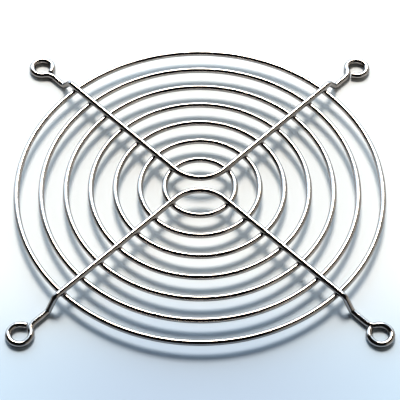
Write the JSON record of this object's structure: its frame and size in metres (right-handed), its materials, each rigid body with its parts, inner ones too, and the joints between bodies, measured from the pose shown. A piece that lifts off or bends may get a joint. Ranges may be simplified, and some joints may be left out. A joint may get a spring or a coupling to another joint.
{
  "type": "wire fan guard",
  "caption": "Round-wire finger guard for an axial fan: concentric rings welded under bent support wires that step down and end in screw eyelets.",
  "frame": {"origin": "centre of the square of four eyelets, on the mounting face under them", "axes": "+Z away from the fan, out of the face with the support wires; +Y towards the rear support wire; X and Y along the sides of the hole square"},
  "size_m": [0.1156, 0.1156, 0.006],
  "materials": {
    "plated_wire": "bright nickel and chrome plating on drawn steel wire"
  },
  "bodies": {
    "root": {"ring_1": "plated_wire", "ring_2": "plated_wire", "ring_3": "plated_wire", "ring_4": "plated_wire", "ring_5": "plated_wire", "ring_6": "plated_wire", "ring_7": "plated_wire", "rear_support_wire": "plated_wire", "front_support_wire": "plated_wire"}
  },
  "joints": []
}
